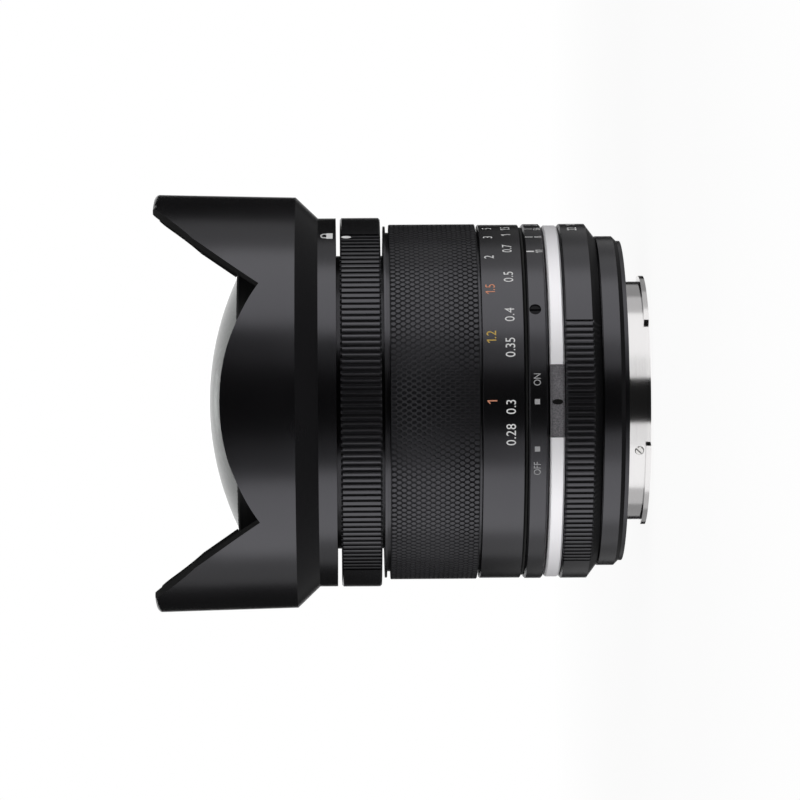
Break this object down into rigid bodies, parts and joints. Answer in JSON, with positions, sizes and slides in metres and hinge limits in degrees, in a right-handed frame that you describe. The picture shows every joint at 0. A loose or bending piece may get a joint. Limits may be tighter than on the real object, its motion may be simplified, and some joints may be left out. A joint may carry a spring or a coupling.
{
  "type": "wide-angle prime lens",
  "caption": "Manual-focus wide-angle prime lens with a fixed petal hood, rubber focus ring, focus lock, aperture and de-click rings, bayonet mount, and a bladed iris.",
  "frame": {"origin": "centre of the mount's flange plane, on the optical axis", "axes": "+Z along the optical axis towards the subject; +X to the camera's top, where the index lines are; +Y to the far side of the picture"},
  "size_m": [0.087, 0.0864, 0.1015],
  "materials": {
    "black_anodised": "satin black anodised, with a faint violet tint",
    "rubber_grip": "matte black rubber with fine staggered bumps",
    "gasket_rubber": "matte black rubber",
    "silver_anodised": "satin silver anodised",
    "bright_mount": "turned and plated brass",
    "inner_black": "matte black anodised against stray light",
    "plastic_black": "matte black moulded plastic",
    "brass": "machined brass",
    "steel": "bright steel",
    "black_steel": "blackened steel",
    "coated_glass": "polished, with anti-reflection coating"
  },
  "bodies": {
    "barrel": {"petal_hood": "black_anodised", "hood_retaining_ring": "inner_black", "front_cover_ring": "inner_black", "guide_barrel": "black_anodised", "rear_barrel": "black_anodised", "barrel_screws": "steel", "depth_of_field_ring": "black_anodised", "depth_ring_screws": "black_steel", "focus_stop_key": "brass", "bayonet_mount": "bright_mount", "mount_screws": "steel", "mount_gasket": "gasket_rubber", "bayonet_stop_screw": "steel", "rear_baffle": "plastic_black", "click_spring": "steel", "lock_brake_ring": "plastic_black"},
    "lock": {"lock_ring": "black_anodised"},
    "focus": {"focus_sleeve": "black_anodised", "focus_grip": "rubber_grip", "distance_ring": "black_anodised"},
    "optics": {"sliding_barrel": "brass", "guide_rollers": "brass", "front_cell": "inner_black", "front_retaining_ring": "inner_black", "front_spacer": "inner_black", "third_retaining_ring": "inner_black", "middle_cell": "inner_black", "middle_retaining_ring": "inner_black", "iris_retaining_ring": "inner_black", "iris_housing": "inner_black", "rear_cell": "inner_black", "spacer_rings": "inner_black", "rear_retaining_ring": "inner_black", "front_meniscus": "coated_glass", "second_meniscus": "coated_glass", "third_meniscus": "coated_glass", "fourth_convex": "coated_glass", "fifth_concave": "coated_glass", "sixth_convex": "coated_glass", "seventh_convex": "coated_glass", "eighth_meniscus": "coated_glass", "ninth_concave": "coated_glass", "tenth_convex": "coated_glass", "eleventh_convex": "coated_glass", "twelfth_meniscus": "coated_glass", "thirteenth_convex": "coated_glass", "rear_meniscus": "coated_glass"},
    "iris_cam": {"iris_cam_ring": "black_steel"},
    "declick": {"declick_ring": "silver_anodised"},
    "aperture": {"aperture_ring": "black_anodised", "aperture_lever": "steel"},
    "blade_1": {"iris_blade_1": "black_steel"},
    "blade_2": {"iris_blade_2": "black_steel"},
    "blade_3": {"iris_blade_3": "black_steel"},
    "blade_4": {"iris_blade_4": "black_steel"},
    "blade_5": {"iris_blade_5": "black_steel"},
    "blade_6": {"iris_blade_6": "black_steel"},
    "blade_7": {"iris_blade_7": "black_steel"},
    "blade_8": {"iris_blade_8": "black_steel"},
    "blade_9": {"iris_blade_9": "black_steel"}
  },
  "joints": [
    {"name": "lock_turn", "type": "hinge", "parent": "barrel", "child": "lock", "pos_m": [0, 0, 0.0542], "axis": [0, 0, 1], "range_deg": [-30, 0]},
    {"name": "focus_turn", "type": "hinge", "parent": "barrel", "child": "focus", "pos_m": [0, 0, 0.038], "axis": [0, 0, 1], "range_deg": [0, 101]},
    {"name": "optics_slide", "type": "slide", "parent": "barrel", "child": "optics", "axis": [0, 0, 1], "range_m": [0, 0.0011]},
    {"name": "declick_turn", "type": "hinge", "parent": "barrel", "child": "declick", "pos_m": [0, 0, 0.0148], "axis": [0, 0, 1], "range_deg": [-15, 0]},
    {"name": "aperture_turn", "type": "hinge", "parent": "barrel", "child": "aperture", "pos_m": [0, 0, 0.0096], "axis": [0, 0, 1], "range_deg": [-32, 16], "deforming": ["click_spring"]},
    {"name": "iris_cam_turn", "type": "hinge", "parent": "optics", "child": "iris_cam", "pos_m": [0, 0, 0.0328], "axis": [0, 0, 1], "range_deg": [-32, 16]},
    {"name": "blade_1_turn", "type": "hinge", "parent": "optics", "child": "blade_1", "pos_m": [0.0152, 0, 0.0306], "axis": [0, 0, 1], "range_deg": [-20.94, 10.47]},
    {"name": "blade_2_turn", "type": "hinge", "parent": "optics", "child": "blade_2", "pos_m": [0.01164, 0.00977, 0.0306], "axis": [0, 0, 1], "range_deg": [-20.94, 10.47]},
    {"name": "blade_3_turn", "type": "hinge", "parent": "optics", "child": "blade_3", "pos_m": [0.00264, 0.01497, 0.0306], "axis": [0, 0, 1], "range_deg": [-20.94, 10.47]},
    {"name": "blade_4_turn", "type": "hinge", "parent": "optics", "child": "blade_4", "pos_m": [-0.0076, 0.01316, 0.0306], "axis": [0, 0, 1], "range_deg": [-20.94, 10.47]},
    {"name": "blade_5_turn", "type": "hinge", "parent": "optics", "child": "blade_5", "pos_m": [-0.01428, 0.0052, 0.0306], "axis": [0, 0, 1], "range_deg": [-20.94, 10.47]},
    {"name": "blade_6_turn", "type": "hinge", "parent": "optics", "child": "blade_6", "pos_m": [-0.01428, -0.0052, 0.0306], "axis": [0, 0, 1], "range_deg": [-20.94, 10.47]},
    {"name": "blade_7_turn", "type": "hinge", "parent": "optics", "child": "blade_7", "pos_m": [-0.0076, -0.01316, 0.0306], "axis": [0, 0, 1], "range_deg": [-20.94, 10.47]},
    {"name": "blade_8_turn", "type": "hinge", "parent": "optics", "child": "blade_8", "pos_m": [0.00264, -0.01497, 0.0306], "axis": [0, 0, 1], "range_deg": [-20.94, 10.47]},
    {"name": "blade_9_turn", "type": "hinge", "parent": "optics", "child": "blade_9", "pos_m": [0.01164, -0.00977, 0.0306], "axis": [0, 0, 1], "range_deg": [-20.94, 10.47]}
  ],
  "couplings": [
    {"joint": "focus_turn", "follows": "optics_slide", "rad_per_m": 1602.5},
    {"joint": "iris_cam_turn", "follows": "aperture_turn", "ratio": 1},
    {"joint": "blade_1_turn", "follows": "aperture_turn", "ratio": 0.65417},
    {"joint": "blade_2_turn", "follows": "aperture_turn", "ratio": 0.65417},
    {"joint": "blade_3_turn", "follows": "aperture_turn", "ratio": 0.65417},
    {"joint": "blade_4_turn", "follows": "aperture_turn", "ratio": 0.65417},
    {"joint": "blade_5_turn", "follows": "aperture_turn", "ratio": 0.65417},
    {"joint": "blade_6_turn", "follows": "aperture_turn", "ratio": 0.65417},
    {"joint": "blade_7_turn", "follows": "aperture_turn", "ratio": 0.65417},
    {"joint": "blade_8_turn", "follows": "aperture_turn", "ratio": 0.65417},
    {"joint": "blade_9_turn", "follows": "aperture_turn", "ratio": 0.65417}
  ]
}
